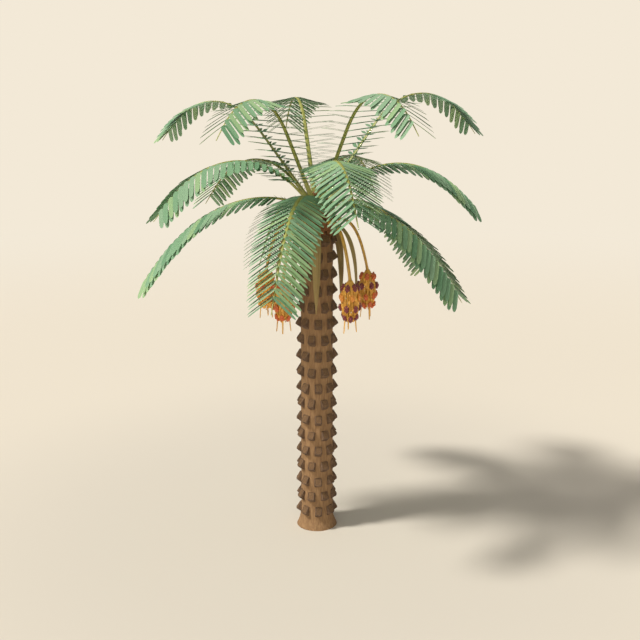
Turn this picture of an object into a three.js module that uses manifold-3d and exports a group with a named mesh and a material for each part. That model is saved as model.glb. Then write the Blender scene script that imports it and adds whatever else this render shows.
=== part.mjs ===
// A date palm about seven metres tall: one trunk studded with cut leaf bases, a fibrous crown heart,
// fifteen arching fronds in three whorls of five, five hanging bunches of dates on their stalks, and
// five dry sheaths that hang between them.
// Every frond is one closed blade, cut to its rib between the leaflets, in an inner and an outer half.
// Millimetres and degrees, +Z up. The origin is the centre of the trunk's flat cut at ground level.
// An azimuth is counted from +X, counter-clockwise as seen from above.
import * as THREE from "three";
import { mergeVertices } from "three/addons/utils/BufferGeometryUtils.js";
import Module from "manifold-3d";

const wasm = await Module();
wasm.setup();

// ---------------------------------------------------------------- driving dimensions
const SEAT_GAP = 0.3; // between a piece and what carries it
const WELD = 1e-3; // vertices nearer than this are one
const UP = new THREE.Vector3(0, 0, 1);

const TRUNK = {
  sides: 16,
  azimuth: 5, // of the middle of a side
  height: 4930,
  topRadius: 256,
  coreRadius: 266,
  footRadius: 334,
  flareHeight: 290,
  flareRings: [0, 70, 140],
};

// The stub that a cut frond leaves on every second side of the trunk, in rows that alternate.
// Heights are counted from its tip, which is the lower, outer edge of the cut face.
const BOOT = {
  rows: 18,
  firstRow: 278,
  rowPitch: 265,
  rootBottom: -84,
  rootTop: 98,
  tipRadius: 347,
  shoulderRadius: 276,
  shoulderHeight: 112,
  width: 120,
};

// The heart's outline from its seat on the trunk to its crown, as radius and height above the trunk.
const HEART = {
  sides: 24,
  outline: [
    [262, 0],
    [282, 150],
    [264, 350],
    [200, 490],
    [150, 552],
    [90, 600],
  ],
  height: 630,
};

const FROND = {
  startRadius: 96,
  startHeight: 5346,
  petioleShare: 0.16,
  petioleSteps: 3,
  leafletPairs: 22,
  leafShare: 0.94,
  petioleWidth: 92,
  petioleDepth: 42,
  ribWidth: 58,
  ribDepth: 38,
  tipWidth: 16,
  tipDepth: 13,
};
const RIB_STEPS = 48; // straight steps that the bend of a rib is summed over

// Each whorl bends by the same rule. Each of its fronds is [azimuth, rise, length].
const WHORLS = [
  {
    name: "upper",
    inset: -16,
    lift: 32,
    dive: 52,
    bendFrom: 0.36,
    bendTo: 0.98,
    fronds: [
      [162, 52, 3460],
      [234, 58, 3150],
      [306, 59, 3260],
      [18, 54, 3620],
      [104, 59, 3270],
    ],
  },
  {
    name: "middle",
    inset: 0,
    lift: 0,
    dive: 49,
    bendFrom: 0,
    bendTo: 0.97,
    fronds: [
      [210, 47, 3080],
      [282, 49, 3050],
      [354, 46, 2880],
      [66, 47, 3080],
      [138, 45, 3020],
    ],
  },
  {
    name: "lower",
    inset: 16,
    lift: -48,
    dive: 55,
    bendFrom: -0.8,
    bendTo: 0.96,
    fronds: [
      [186, 89, 3250],
      [258, 104, 3260],
      [330, 75, 2870],
      [42, 74, 3150],
      [114, 79, 3100],
    ],
  },
];

const LEAFLET = {
  length: 560,
  shortest: 0.38, // least share of the full length
  width: 80,
  narrowest: 0.7, // least share of the full width
  depth: 14,
  widestAt: 0.42,
  sweepAtBase: 0.5, // how far a leaflet leans along the rib for each unit that it reaches aside
  sweepAtTip: 0.55,
  sag: 0.32, // and how far it falls
  swellFrom: 0.15, // the stretch of a half wave that the leaflets' sizes follow along the frond
  swellTo: 0.8,
  shorter: [1, 0.8, 0.62, 0.48], // the lengths tried where something is in the way
  clearance: 2,
};

const BUNCH = {
  azimuths: [306, 18, 90, 162, 234],
  distance: 860,
  top: 4260,
  sides: 8,
  seatRadius: 30,
  outline: [
    [108, -95],
    [138, -210],
    [140, -330],
    [126, -470],
    [72, -585],
  ],
  height: 655,
};
// A date stands for a cluster of them. Proud is how far its middle stands out, as a share of its radius.
const DATE = {
  rows: 4,
  perRow: 5,
  firstRow: -85,
  rowPitch: 155,
  radius: 40,
  halfLength: 66,
  sides: 4,
  proud: 0.33,
};
const STRAND = {
  count: 3,
  turn: 30,
  rootRadius: 84,
  rootDrop: 470,
  tipRadius: 112,
  tipDrop: 790,
  thickness: 9,
};

const STALK_SUNK = 10; // how far a stalk's route runs on into its bunch before the stalk is cut off level

// A stalk leaves the heart outwards, bows over and drops to its bunch. A route is four control points,
// each its distance from the trunk's axis and its height.
const STALK = {
  radius: 27,
  sides: 5,
  steps: 7,
  route: [
    [220, 5060],
    [580, 5270],
    [750, 4800],
    [BUNCH.distance, BUNCH.top - STALK_SUNK],
  ],
};

const SPATHE = {
  azimuths: [270, 342, 54, 126, 198],
  route: [
    [220, 5050],
    [450, 5120],
    [740, 4800],
    [640, 3730],
  ],
  steps: 8,
  baseWidth: 90,
  width: 144,
  widestFrom: 0.3,
  widestTo: 0.5,
  depth: 26,
};

// Colour, roughness and metalness of each kind of piece.
const FINISH = {
  trunk: [0x7d5f41, 0.9, 0],
  heart: [0x6b3f26, 0.95, 0],
  frond: [0x6fa07c, 0.6, 0],
  stalk: [0xc8923a, 0.7, 0],
  bunch: [0xc8752e, 0.5, 0],
  spathe: [0x8c7846, 0.8, 0],
};

// ---------------------------------------------------------------- solids and vectors
const radians = THREE.MathUtils.degToRad;
const mix = THREE.MathUtils.lerp;

// The point at an azimuth, a distance from the trunk's axis and a height.
function around(azimuth, distance, height) {
  const turn = radians(azimuth);
  return new THREE.Vector3(distance * Math.cos(turn), distance * Math.sin(turn), height);
}

// A geometry as a manifold-3d solid: shared vertices merged, collapsed triangles dropped.
function solidOf(geometry) {
  const bare = new THREE.BufferGeometry();
  bare.setAttribute("position", geometry.getAttribute("position"));
  bare.setIndex(geometry.getIndex());
  const merged = mergeVertices(bare, WELD);
  const corners = merged.getIndex().array;
  const kept = [];
  for (let i = 0; i < corners.length; i += 3) {
    const [a, b, c] = corners.slice(i, i + 3);
    if (a !== b && b !== c && c !== a) kept.push(a, b, c);
  }
  return new wasm.Manifold(
    new wasm.Mesh({
      numProp: 3,
      vertProperties: merged.getAttribute("position").array,
      triVerts: new Uint32Array(kept),
    }),
  );
}

function geometryOf(solid) {
  const mesh = solid.getMesh();
  const geometry = new THREE.BufferGeometry();
  geometry.setAttribute("position", new THREE.BufferAttribute(mesh.vertProperties, 3));
  geometry.setIndex(new THREE.BufferAttribute(mesh.triVerts, 1));
  geometry.computeVertexNormals();
  return geometry;
}

// Collects the corners and faces of one closed surface.
class Surface {
  constructor() {
    this.corners = [];
    this.triangles = [];
  }

  add(point) {
    return this.corners.push(point.x, point.y, point.z) / 3 - 1;
  }

  // A flat or slightly twisted face, its corners counter-clockwise from outside.
  face(...loop) {
    for (let i = 2; i < loop.length; i += 1) this.triangles.push(loop[0], loop[i - 1], loop[i]);
  }

  geometry() {
    const made = new THREE.BufferGeometry();
    made.setAttribute("position", new THREE.Float32BufferAttribute(this.corners, 3));
    made.setIndex(this.triangles);
    return made;
  }
}

// A solid of revolution about +Z through points of radius and height, from the bottom up.
function turned(outline, sides, azimuth = 0) {
  const points = outline.map(([radius, height]) => new THREE.Vector2(radius, height));
  const lathe = new THREE.LatheGeometry(points, sides);
  lathe.rotateX(Math.PI / 2);
  lathe.rotateZ(radians(azimuth));
  return solidOf(lathe);
}

// ---------------------------------------------------------------- trunk and crown heart
// The trunk's radius without its stubs: a flare at the foot, then a slight taper.
function trunkRadius(height) {
  const flare = Math.max(0, 1 - height / TRUNK.flareHeight) ** 2;
  const taper = mix(TRUNK.coreRadius, TRUNK.topRadius, height / TRUNK.height);
  return taper + (TRUNK.footRadius - TRUNK.coreRadius) * flare;
}

// The heights at which the trunk has a ring of corners: each row of stubs stands between two of them.
function trunkRings() {
  const rings = [...TRUNK.flareRings];
  for (let row = 0; row < BOOT.rows; row += 1) {
    const tip = BOOT.firstRow + row * BOOT.rowPitch;
    rings.push(tip + BOOT.rootBottom, tip + BOOT.rootTop);
  }
  return [...rings, TRUNK.height];
}

// A stub on one side of the trunk: its root is the loop of that side's corners, bottom left first.
function bootFaces(surface, [bottomLeft, bottomRight, topRight, topLeft], azimuth, tipHeight) {
  const aside = around(azimuth + 90, BOOT.width / 2, 0);
  const tip = around(azimuth, BOOT.tipRadius, tipHeight);
  const shoulder = around(azimuth, BOOT.shoulderRadius, tipHeight + BOOT.shoulderHeight);
  const tipRight = surface.add(tip.clone().add(aside));
  const tipLeft = surface.add(tip.sub(aside));
  const shoulderRight = surface.add(shoulder.clone().add(aside));
  const shoulderLeft = surface.add(shoulder.sub(aside));
  surface.face(bottomLeft, bottomRight, tipRight, tipLeft);
  surface.face(bottomRight, topRight, shoulderRight, tipRight);
  surface.face(topRight, topLeft, shoulderLeft, shoulderRight);
  surface.face(topLeft, bottomLeft, tipLeft, shoulderLeft);
  surface.face(tipLeft, tipRight, shoulderRight, shoulderLeft);
}

function trunkSolid() {
  const surface = new Surface();
  const facet = 360 / TRUNK.sides;
  const columns = Array.from({ length: TRUNK.sides }, (_, i) => TRUNK.azimuth + (i - 0.5) * facet);
  const heights = trunkRings();
  const rings = heights.map((height) =>
    columns.map((azimuth) => surface.add(around(azimuth, trunkRadius(height), height))),
  );
  const firstBoot = TRUNK.flareRings.length;
  for (let level = 1; level < rings.length; level += 1) {
    const row = (level - 1 - firstBoot) / 2;
    const hasBoots = Number.isInteger(row) && row >= 0 && row < BOOT.rows;
    columns.forEach((azimuth, i) => {
      const next = (i + 1) % columns.length;
      const loop = [rings[level - 1][i], rings[level - 1][next], rings[level][next], rings[level][i]];
      const tipHeight = BOOT.firstRow + row * BOOT.rowPitch;
      if (hasBoots && i % 2 === row % 2) bootFaces(surface, loop, azimuth + facet / 2, tipHeight);
      else surface.face(...loop);
    });
  }
  surface.face(...rings[0].toReversed());
  surface.face(...rings[rings.length - 1]);
  return solidOf(surface.geometry());
}

// The heart, or with a grown outline the room that the fronds and stalks leave round it.
function heartSolid(grown) {
  const seat = TRUNK.height + SEAT_GAP;
  const outline = [[0, seat - grown]];
  for (const [radius, height] of HEART.outline) {
    outline.push([radius + grown, seat + height + (height > 0 ? grown : -grown)]);
  }
  outline.push([0, seat + HEART.height + grown]);
  return turned(outline, HEART.sides);
}

// ---------------------------------------------------------------- blades along a curve
// The four corners of a flat section: left top, right top, right bottom and left bottom.
function sectionAt(curve, side, share, width, depth, shift = 0) {
  const along = curve.getTangentAt(share);
  const up = side.clone().cross(along);
  const centre = curve.getPointAt(share).addScaledVector(along, shift);
  const corner = (aside, above) =>
    centre.clone().addScaledVector(side, (aside * width) / 2).addScaledVector(up, (above * depth) / 2);
  return [corner(-1, 1), corner(1, 1), corner(1, -1), corner(-1, -1)];
}

const capStart = (surface, [leftTop, rightTop, rightBottom, leftBottom]) =>
  surface.face(leftTop, leftBottom, rightBottom, rightTop);

const capEnd = (surface, [leftTop, rightTop, rightBottom, leftBottom]) =>
  surface.face(rightTop, rightBottom, leftBottom, leftTop);

// Top and bottom between two sections, and the open loops of its sides, each top edge first.
function spanFaces(surface, near, far) {
  surface.face(near[1], far[1], far[0], near[0]);
  surface.face(near[3], far[3], far[2], near[2]);
  return { left: [near[0], far[0], far[3], near[3]], right: [far[1], near[1], near[2], far[2]] };
}

function pointedEnd(surface, [leftTop, rightTop, rightBottom, leftBottom], tip) {
  surface.face(leftTop, rightTop, tip);
  surface.face(rightTop, rightBottom, tip);
  surface.face(rightBottom, leftBottom, tip);
  surface.face(leftBottom, leftTop, tip);
}

// ---------------------------------------------------------------- fronds
// The rib climbs at its rise and bends over smoothly until it dives.
function ribCurve(whorl, azimuth, rise, length) {
  const points = [];
  const step = length / RIB_STEPS;
  let reach = FROND.startRadius + whorl.inset;
  let height = FROND.startHeight + whorl.lift;
  for (let i = 0; i <= RIB_STEPS; i += 1) {
    points.push(around(azimuth, reach, height));
    const bend = THREE.MathUtils.smoothstep((i + 0.5) / RIB_STEPS, whorl.bendFrom, whorl.bendTo);
    const pitch = radians(rise - (rise + whorl.dive) * bend);
    reach += step * Math.cos(pitch);
    height += step * Math.sin(pitch);
  }
  return new THREE.CatmullRomCurve3(points);
}

// Shares of the rib's length at which it has a section: a few on the petiole, one between leaflets.
function ribStations() {
  const shares = [];
  for (let i = 0; i < FROND.petioleSteps; i += 1) {
    shares.push((i / FROND.petioleSteps) * FROND.petioleShare);
  }
  for (let i = 0; i <= FROND.leafletPairs; i += 1) {
    shares.push(mix(FROND.petioleShare, FROND.leafShare, i / FROND.leafletPairs));
  }
  return shares;
}

// The rib's width and depth: the petiole narrows quickly, the rib evenly to its tip.
function ribSize(share) {
  if (share < FROND.petioleShare) {
    const along = share / FROND.petioleShare;
    return [mix(FROND.petioleWidth, FROND.ribWidth, along), mix(FROND.petioleDepth, FROND.ribDepth, along)];
  }
  const along = (share - FROND.petioleShare) / (1 - FROND.petioleShare);
  return [mix(FROND.ribWidth, FROND.tipWidth, along), mix(FROND.ribDepth, FROND.tipDepth, along)];
}

// The blade that grows from one side loop of the rib: it reaches aside, leans along the rib and falls,
// with its upper face turned as far to the sky as that allows.
function leafletShape(surface, loop, frond, share, hand, size) {
  const along = (share - FROND.petioleShare) / (FROND.leafShare - FROND.petioleShare);
  const rib = frond.curve.getTangentAt(share);
  const heading = frond.side
    .clone()
    .multiplyScalar(hand)
    .addScaledVector(rib, mix(LEAFLET.sweepAtBase, LEAFLET.sweepAtTip, along ** 2))
    .addScaledVector(UP, -LEAFLET.sag)
    .normalize();
  const upper = UP.clone().addScaledVector(heading, -heading.z).normalize();
  const forward = upper.clone().cross(heading);
  if (forward.dot(rib) < 0) forward.negate();
  const fullness = Math.sin(Math.PI * mix(LEAFLET.swellFrom, LEAFLET.swellTo, along));
  const length = LEAFLET.length * mix(LEAFLET.shortest, 1, fullness) * size;
  const width = LEAFLET.width * mix(LEAFLET.narrowest, 1, fullness);
  const root = new THREE.Vector3();
  for (const corner of loop) {
    root.add(new THREE.Vector3().fromArray(surface.corners, corner * 3).divideScalar(loop.length));
  }
  const middle = root.clone().addScaledVector(heading, length * LEAFLET.widestAt);
  return {
    back: middle.clone().addScaledVector(forward, -width / 2),
    front: middle.clone().addScaledVector(forward, width / 2),
    keel: middle.clone().addScaledVector(upper, -LEAFLET.depth),
    tip: root.clone().addScaledVector(heading, length),
    heading,
    forward,
    upper,
  };
}

// Closes a side loop with a leaflet: the loop's first corner is on the back where hand is left.
function leafletFaces(surface, loop, shape, hand) {
  const [first, second] = hand < 0 ? [shape.back, shape.front] : [shape.front, shape.back];
  const a = surface.add(first);
  const b = surface.add(second);
  const keel = surface.add(shape.keel);
  const tip = surface.add(shape.tip);
  surface.face(loop[0], loop[1], b, a);
  surface.face(loop[1], loop[2], keel, b);
  surface.face(loop[2], loop[3], keel);
  surface.face(loop[3], loop[0], a, keel);
  surface.face(a, b, tip);
  surface.face(b, keel, tip);
  surface.face(keel, a, tip);
}

// The leaflet alone, a little larger than life, to try whether its place is free.
function leafletTrial(surface, loop, shape, hand) {
  const trial = new Surface();
  const ring = loop.map((corner) => trial.add(new THREE.Vector3().fromArray(surface.corners, corner * 3)));
  const roomy = {
    back: shape.back.clone().addScaledVector(shape.forward, -LEAFLET.clearance),
    front: shape.front.clone().addScaledVector(shape.forward, LEAFLET.clearance),
    keel: shape.keel.clone().addScaledVector(shape.upper, -LEAFLET.clearance),
    tip: shape.tip.clone().addScaledVector(shape.heading, LEAFLET.clearance),
  };
  roomy.back.addScaledVector(shape.upper, LEAFLET.clearance);
  roomy.front.addScaledVector(shape.upper, LEAFLET.clearance);
  leafletFaces(trial, ring, roomy, hand);
  trial.face(ring[3], ring[2], ring[1], ring[0]);
  return solidOf(trial.geometry());
}

function boxOf(solid) {
  const { min, max } = solid.boundingBox();
  return new THREE.Box3(new THREE.Vector3(...min), new THREE.Vector3(...max));
}

// Solids that a leaflet may not touch, each with its box and the frond that owns it, if any.
class Obstacles {
  constructor() {
    this.items = [];
  }

  add(solid, owner = null) {
    this.items.push({ solid, box: boxOf(solid), owner });
  }

  blocks(trial, owner) {
    const box = boxOf(trial);
    return this.items.some(
      (item) =>
        (item.owner !== owner || owner === null) &&
        item.box.intersectsBox(box) &&
        !item.solid.intersect(trial).isEmpty(),
    );
  }
}

function planFronds() {
  return WHORLS.flatMap((whorl) =>
    whorl.fronds.map(([azimuth, rise, length], i) => ({
      name: `frond_${whorl.name}_${i + 1}`,
      curve: ribCurve(whorl, azimuth, rise, length),
      side: around(azimuth - 90, 1, 0),
    })),
  );
}

// The stretch of a frond between two of its stations: bare where no obstacles are given, else leafy.
function frondHalf(frond, shares, first, last, obstacles) {
  const surface = new Surface();
  const sections = [];
  for (let i = first; i <= last; i += 1) {
    const [width, depth] = ribSize(shares[i]);
    const shift = i === first && first > 0 ? SEAT_GAP : 0;
    const corners = sectionAt(frond.curve, frond.side, shares[i], width, depth, shift);
    sections.push(corners.map((corner) => surface.add(corner)));
  }
  capStart(surface, sections[0]);
  for (let i = 1; i < sections.length; i += 1) {
    const { left, right } = spanFaces(surface, sections[i - 1], sections[i]);
    const share = (shares[first + i - 1] + shares[first + i]) / 2;
    const leafy = obstacles !== null && share > FROND.petioleShare;
    for (const [hand, loop] of [[-1, left], [1, right]]) {
      const shape = leafy ? freeLeaflet(surface, loop, frond, share, hand, obstacles) : null;
      if (shape) leafletFaces(surface, loop, shape, hand);
      else surface.face(...loop);
    }
  }
  const end = sections[sections.length - 1];
  if (last === shares.length - 1) pointedEnd(surface, end, surface.add(frond.curve.getPointAt(1)));
  else capEnd(surface, end);
  return solidOf(surface.geometry());
}

// The longest leaflet that clears everything else, or null where none does.
function freeLeaflet(surface, loop, frond, share, hand, obstacles) {
  for (const size of LEAFLET.shorter) {
    const shape = leafletShape(surface, loop, frond, share, hand, size);
    const trial = leafletTrial(surface, loop, shape, hand);
    if (!obstacles.blocks(trial, frond)) {
      obstacles.add(trial, frond);
      return shape;
    }
  }
  return null;
}

// The station nearest to a frond's highest point, where it is split.
function splitStation(frond, shares) {
  const heights = shares.map((share) => frond.curve.getPointAt(share).z);
  return heights.indexOf(Math.max(...heights));
}

// ---------------------------------------------------------------- stalks, bunches and spathes
function bezier(azimuth, route) {
  return new THREE.CubicBezierCurve3(...route.map(([distance, height]) => around(azimuth, distance, height)));
}

function stalkSolid(azimuth) {
  const section = new THREE.Shape();
  for (let i = 0; i < STALK.sides; i += 1) {
    const turn = (i * 2 * Math.PI) / STALK.sides;
    const corner = [STALK.radius * Math.cos(turn), STALK.radius * Math.sin(turn)];
    if (i === 0) section.moveTo(...corner);
    else section.lineTo(...corner);
  }
  const extrudePath = bezier(azimuth, STALK.route);
  const stalk = solidOf(new THREE.ExtrudeGeometry(section, { steps: STALK.steps, extrudePath }));
  return stalk.trimByPlane([0, 0, 1], BUNCH.top + SEAT_GAP);
}

// One oval fruit, standing for several.
function dateSolid(azimuth, distance, height) {
  const outline = [[0, -DATE.halfLength], [DATE.radius, 0], [0, DATE.halfLength]];
  return turned(outline, DATE.sides).translate(around(azimuth, distance, height).toArray());
}

// A trailing fruitless strand, from inside the bunch to a point below it.
function strandSolid(azimuth) {
  const surface = new Surface();
  const root = [0, 1, 2].map((i) => {
    const aside = around(azimuth + i * 120, STRAND.thickness, 0);
    return surface.add(around(azimuth, STRAND.rootRadius, -STRAND.rootDrop).add(aside));
  });
  const tip = surface.add(around(azimuth, STRAND.tipRadius, -STRAND.tipDrop));
  surface.face(...root);
  root.forEach((corner, i) => surface.face(root[(i + 1) % root.length], corner, tip));
  return solidOf(surface.geometry());
}

// The bunch's own radius at a height below its top, between the points of its outline.
function bunchRadius(height) {
  const points = [[BUNCH.seatRadius, 0], ...BUNCH.outline, [0, -BUNCH.height]];
  const i = points.findIndex(([, level]) => level <= height);
  const [upper, lower] = [points[Math.max(i - 1, 0)], points[i]];
  return mix(lower[0], upper[0], (height - lower[1]) / (upper[1] - lower[1] || 1));
}

function bunchSolid(azimuth) {
  const outline = [[0, -BUNCH.height], ...BUNCH.outline.toReversed(), [BUNCH.seatRadius, 0], [0, 0]];
  let bunch = turned(outline, BUNCH.sides, azimuth);
  for (let row = 0; row < DATE.rows; row += 1) {
    const height = DATE.firstRow - row * DATE.rowPitch;
    const distance = bunchRadius(height) + DATE.radius * DATE.proud;
    for (let i = 0; i < DATE.perRow; i += 1) {
      const turn = azimuth + ((i + (row % 2) / 2) * 360) / DATE.perRow;
      bunch = bunch.add(dateSolid(turn, distance, height));
    }
  }
  for (let i = 0; i < STRAND.count; i += 1) {
    bunch = bunch.add(strandSolid(azimuth + STRAND.turn + (i * 360) / STRAND.count));
  }
  return bunch.translate(around(azimuth, BUNCH.distance, BUNCH.top).toArray());
}

// The dry sheath's width: it broadens from its root, stays broad for a stretch and is drawn to a point.
function spatheWidth(share) {
  const rising = mix(SPATHE.baseWidth, SPATHE.width, share / SPATHE.widestFrom);
  const falling = Math.max(0, share - SPATHE.widestTo) / (1 - SPATHE.widestTo);
  return Math.min(rising, SPATHE.width) * (1 - falling ** 2);
}

// A dry sheath that hangs from the heart.
function spatheSolid(azimuth) {
  const surface = new Surface();
  const curve = bezier(azimuth, SPATHE.route);
  const side = around(azimuth - 90, 1, 0);
  const sections = [];
  for (let i = 0; i < SPATHE.steps; i += 1) {
    const share = i / SPATHE.steps;
    const corners = sectionAt(curve, side, share, spatheWidth(share), SPATHE.depth);
    sections.push(corners.map((corner) => surface.add(corner)));
  }
  capStart(surface, sections[0]);
  for (let i = 1; i < sections.length; i += 1) {
    const { left, right } = spanFaces(surface, sections[i - 1], sections[i]);
    surface.face(...left);
    surface.face(...right);
  }
  pointedEnd(surface, sections[sections.length - 1], surface.add(curve.getPointAt(1)));
  return solidOf(surface.geometry());
}

// ---------------------------------------------------------------- the palm
const palm = new THREE.Group();

function place(name, kind, solid) {
  const [color, roughness, metalness] = FINISH[kind];
  const material = new THREE.MeshStandardMaterial({ color, roughness, metalness, flatShading: true });
  const mesh = new THREE.Mesh(geometryOf(solid), material);
  mesh.name = name;
  palm.add(mesh);
}

function build() {
  const obstacles = new Obstacles();
  const heartRoom = heartSolid(SEAT_GAP);
  const fixed = (name, kind, solid) => {
    obstacles.add(solid);
    place(name, kind, solid);
  };
  fixed("trunk", "trunk", trunkSolid());
  fixed("crown_heart", "heart", heartSolid(0));
  BUNCH.azimuths.forEach((azimuth, i) => {
    fixed(`fruit_stalk_${i + 1}`, "stalk", stalkSolid(azimuth).subtract(heartRoom));
    fixed(`date_bunch_${i + 1}`, "bunch", bunchSolid(azimuth));
  });
  SPATHE.azimuths.forEach((azimuth, i) => {
    fixed(`dry_spathe_${i + 1}`, "spathe", spatheSolid(azimuth).subtract(heartRoom));
  });
  const shares = ribStations();
  const last = shares.length - 1;
  const fronds = planFronds();
  for (const frond of fronds) obstacles.add(frondHalf(frond, shares, 0, last, null), frond);
  for (const frond of fronds) {
    const split = splitStation(frond, shares);
    place(`${frond.name}_inner`, "frond", frondHalf(frond, shares, 0, split, obstacles).subtract(heartRoom));
    place(`${frond.name}_outer`, "frond", frondHalf(frond, shares, split, last, obstacles));
  }
}

build();

export default palm;
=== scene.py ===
# %% [markdown]
# # A date palm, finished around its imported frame
# A date palm has one straight trunk, studded with the stubs of the fronds that were cut from it.
# On top sits a heart wrapped in brown fibre, and out of the heart grow the arching fronds,
# the dry sheaths of old flower stalks, and orange stalks that hang heavy with dates.
# The frame holds each of these as a plain solid, in metres, with the origin at the trunk's foot.
# This lesson gives every piece its real surface and grows the fine leaflets, strands and fruit.

# %% Load the frame
import math

import bmesh
import bpy
import numpy as np
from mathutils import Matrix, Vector


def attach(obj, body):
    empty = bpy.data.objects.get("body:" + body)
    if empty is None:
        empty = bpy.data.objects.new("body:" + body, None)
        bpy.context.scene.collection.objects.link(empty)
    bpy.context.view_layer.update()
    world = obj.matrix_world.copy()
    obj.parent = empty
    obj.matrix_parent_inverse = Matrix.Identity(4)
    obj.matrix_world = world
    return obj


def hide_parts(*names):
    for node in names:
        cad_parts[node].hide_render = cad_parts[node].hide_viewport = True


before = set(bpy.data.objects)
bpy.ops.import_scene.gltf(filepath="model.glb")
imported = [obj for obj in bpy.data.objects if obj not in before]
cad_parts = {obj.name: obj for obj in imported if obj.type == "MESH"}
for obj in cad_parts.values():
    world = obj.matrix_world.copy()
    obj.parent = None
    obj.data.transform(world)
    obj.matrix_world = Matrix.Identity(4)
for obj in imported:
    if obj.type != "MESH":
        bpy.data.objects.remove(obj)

for name in ("Cube", "Light", "Camera"):  # a new Blender file may open with these
    if name in bpy.data.objects:
        bpy.data.objects.remove(bpy.data.objects[name])
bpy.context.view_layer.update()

# %% Shared numbers
MM = 0.001  # one millimetre in metres
NUDGE = 0.002  # the share of a path over which its direction is measured
dice = np.random.default_rng(7)  # every random choice below comes from this seed, in order

# %% [markdown]
# ## Working by hand, from code
# Blender's mesh operators act on everything that is selected, and loading the frame leaves all its
# solids selected. So one helper selects a piece alone, and a second opens a new primitive for editing.
# A third picks corners, edges or faces by where they are, as a click would. Whatever an operator is to
# work on is always selected first.

# %% Select and open
def only(piece):
    """Select this piece and nothing else."""
    bpy.ops.object.select_all(action="DESELECT")
    piece.select_set(True)
    bpy.context.view_layer.objects.active = piece


def open_new(name):
    """Name the primitive that was just added and open it for editing."""
    piece = bpy.context.object
    piece.name = piece.data.name = name
    only(piece)
    bpy.ops.object.mode_set(mode="EDIT")
    return piece


# %% Pick by place, and close
def pick(kind, test):
    """Select the VERT, EDGE or FACE items whose middle passes the test, and nothing else."""
    bpy.ops.mesh.select_mode(type=kind)
    bpy.ops.mesh.select_all(action="DESELECT")
    data = bpy.context.edit_object.data
    mesh = bmesh.from_edit_mesh(data)
    items = {"VERT": mesh.verts, "EDGE": mesh.edges, "FACE": mesh.faces}[kind]
    chosen = 0
    for item in items:
        corners = [item] if kind == "VERT" else item.verts
        middle = sum((corner.co for corner in corners), Vector()) / len(corners)
        if test(middle):
            item.select_set(True)
            chosen += 1
    bmesh.update_edit_mesh(data)
    return chosen


def close(piece):
    """Turn every face outwards, leave edit mode and move the piece's place into its mesh."""
    bpy.ops.mesh.select_all(action="SELECT")
    bpy.ops.mesh.normals_make_consistent(inside=False)
    bpy.ops.object.mode_set(mode="OBJECT")
    only(piece)
    bpy.ops.object.transform_apply(location=True, rotation=True, scale=True)
    return piece


# %% Grow a shape ring by ring
def grow_rings(rings, axis):
    """Extrude the selected end ring along an axis. Each ring is its place and its two sizes across."""
    across = [i for i in range(3) if i != axis]
    for (place, *sizes), (next_place, *next_sizes) in zip(rings, rings[1:]):
        move = [0.0, 0.0, 0.0]
        move[axis] = next_place - place
        bpy.ops.mesh.extrude_region_move(TRANSFORM_OT_translate={"value": move})
        scale = [1.0, 1.0, 1.0]
        for i, size, next_size in zip(across, sizes, next_sizes):
            scale[i] = next_size / size
        centre = [0.0, 0.0, 0.0]
        centre[axis] = next_place
        bpy.ops.transform.resize(value=scale, center_override=centre)


def straight_rod(name, sides, rings):
    """A rod along X, drawn out ring by ring from a disc with this many sides, one unit across."""
    bpy.ops.mesh.primitive_circle_add(
        vertices=sides, radius=0.5, fill_type="NGON", rotation=(0, math.pi / 2, 0)
    )
    rod = open_new(name)
    bpy.ops.mesh.select_all(action="SELECT")
    bpy.ops.transform.resize(value=(1, *rings[0][1:]), center_override=(0, 0, 0))
    grow_rings(rings, axis=0)
    return close(rod)


def even_rings(count):
    """Rings of full size that part a length of 1 into this many equal steps."""
    return [(i / count, 1, 1) for i in range(count + 1)]


# %% Smooth, round off, and read or move corners
def smooth(piece, degrees):
    """Shade a piece smooth, except across edges that are sharper than this."""
    only(piece)
    bpy.ops.object.shade_smooth_by_angle(angle=math.radians(degrees))


def round_off(piece):
    """Round a coarse cage with two levels of subdivision."""
    rounding = piece.modifiers.new("rounding", "SUBSURF")
    rounding.levels = rounding.render_levels = 2
    bpy.ops.object.modifier_apply(modifier="rounding")


def corners_of(piece):
    """The places of a mesh's corners, one row each."""
    places = np.empty(len(piece.data.vertices) * 3)
    piece.data.vertices.foreach_get("co", places)
    return places.reshape(-1, 3)


def move_corners(piece, places):
    """Put a mesh's corners at these places."""
    piece.data.vertices.foreach_set("co", np.ravel(places))
    piece.data.update()


# %% Copies of one model, joined
def around(azimuth, distance, height):
    """The point at an azimuth in degrees, a distance from the trunk's axis and a height."""
    turn = np.radians(azimuth)
    parts = np.broadcast_arrays(distance * np.cos(turn), distance * np.sin(turn), height)
    return np.stack(parts, axis=-1)


def left_of(azimuth):
    """The level direction that points left, seen along an azimuth."""
    return around(azimuth + 90, 1, 0)


def join_copies(name, model, places, finishes, dealt=None):
    """One mesh of many copies of a model. Places is copies x corners x 3, and dealt the finish of each.

    The model's own X and Y, before it was laid out, become the copies' UV map."""
    flat = corners_of(model)[:, :2]
    faces = [list(face.vertices) for face in model.data.polygons]
    parts = [face.material_index for face in model.data.polygons]
    count, corners = places.shape[:2]
    mesh = bpy.data.meshes.new(name)
    mesh.from_pydata(
        places.reshape(-1, 3).tolist(),
        [],
        [[corner + copy * corners for corner in face] for copy in range(count) for face in faces],
    )
    one_map = np.array([flat[corner] for face in faces for corner in face])
    mesh.uv_layers.new(name="along").data.foreach_set("uv", np.tile(one_map, (count, 1)).ravel())
    index = np.tile(parts, count) if dealt is None else np.repeat(dealt, len(faces))
    mesh.polygons.foreach_set("material_index", index.astype(np.int32))
    mesh.update()
    piece = bpy.data.objects.new(name, mesh)
    bpy.context.scene.collection.objects.link(piece)
    for finish in finishes:
        mesh.materials.append(finish)
    return piece


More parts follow.
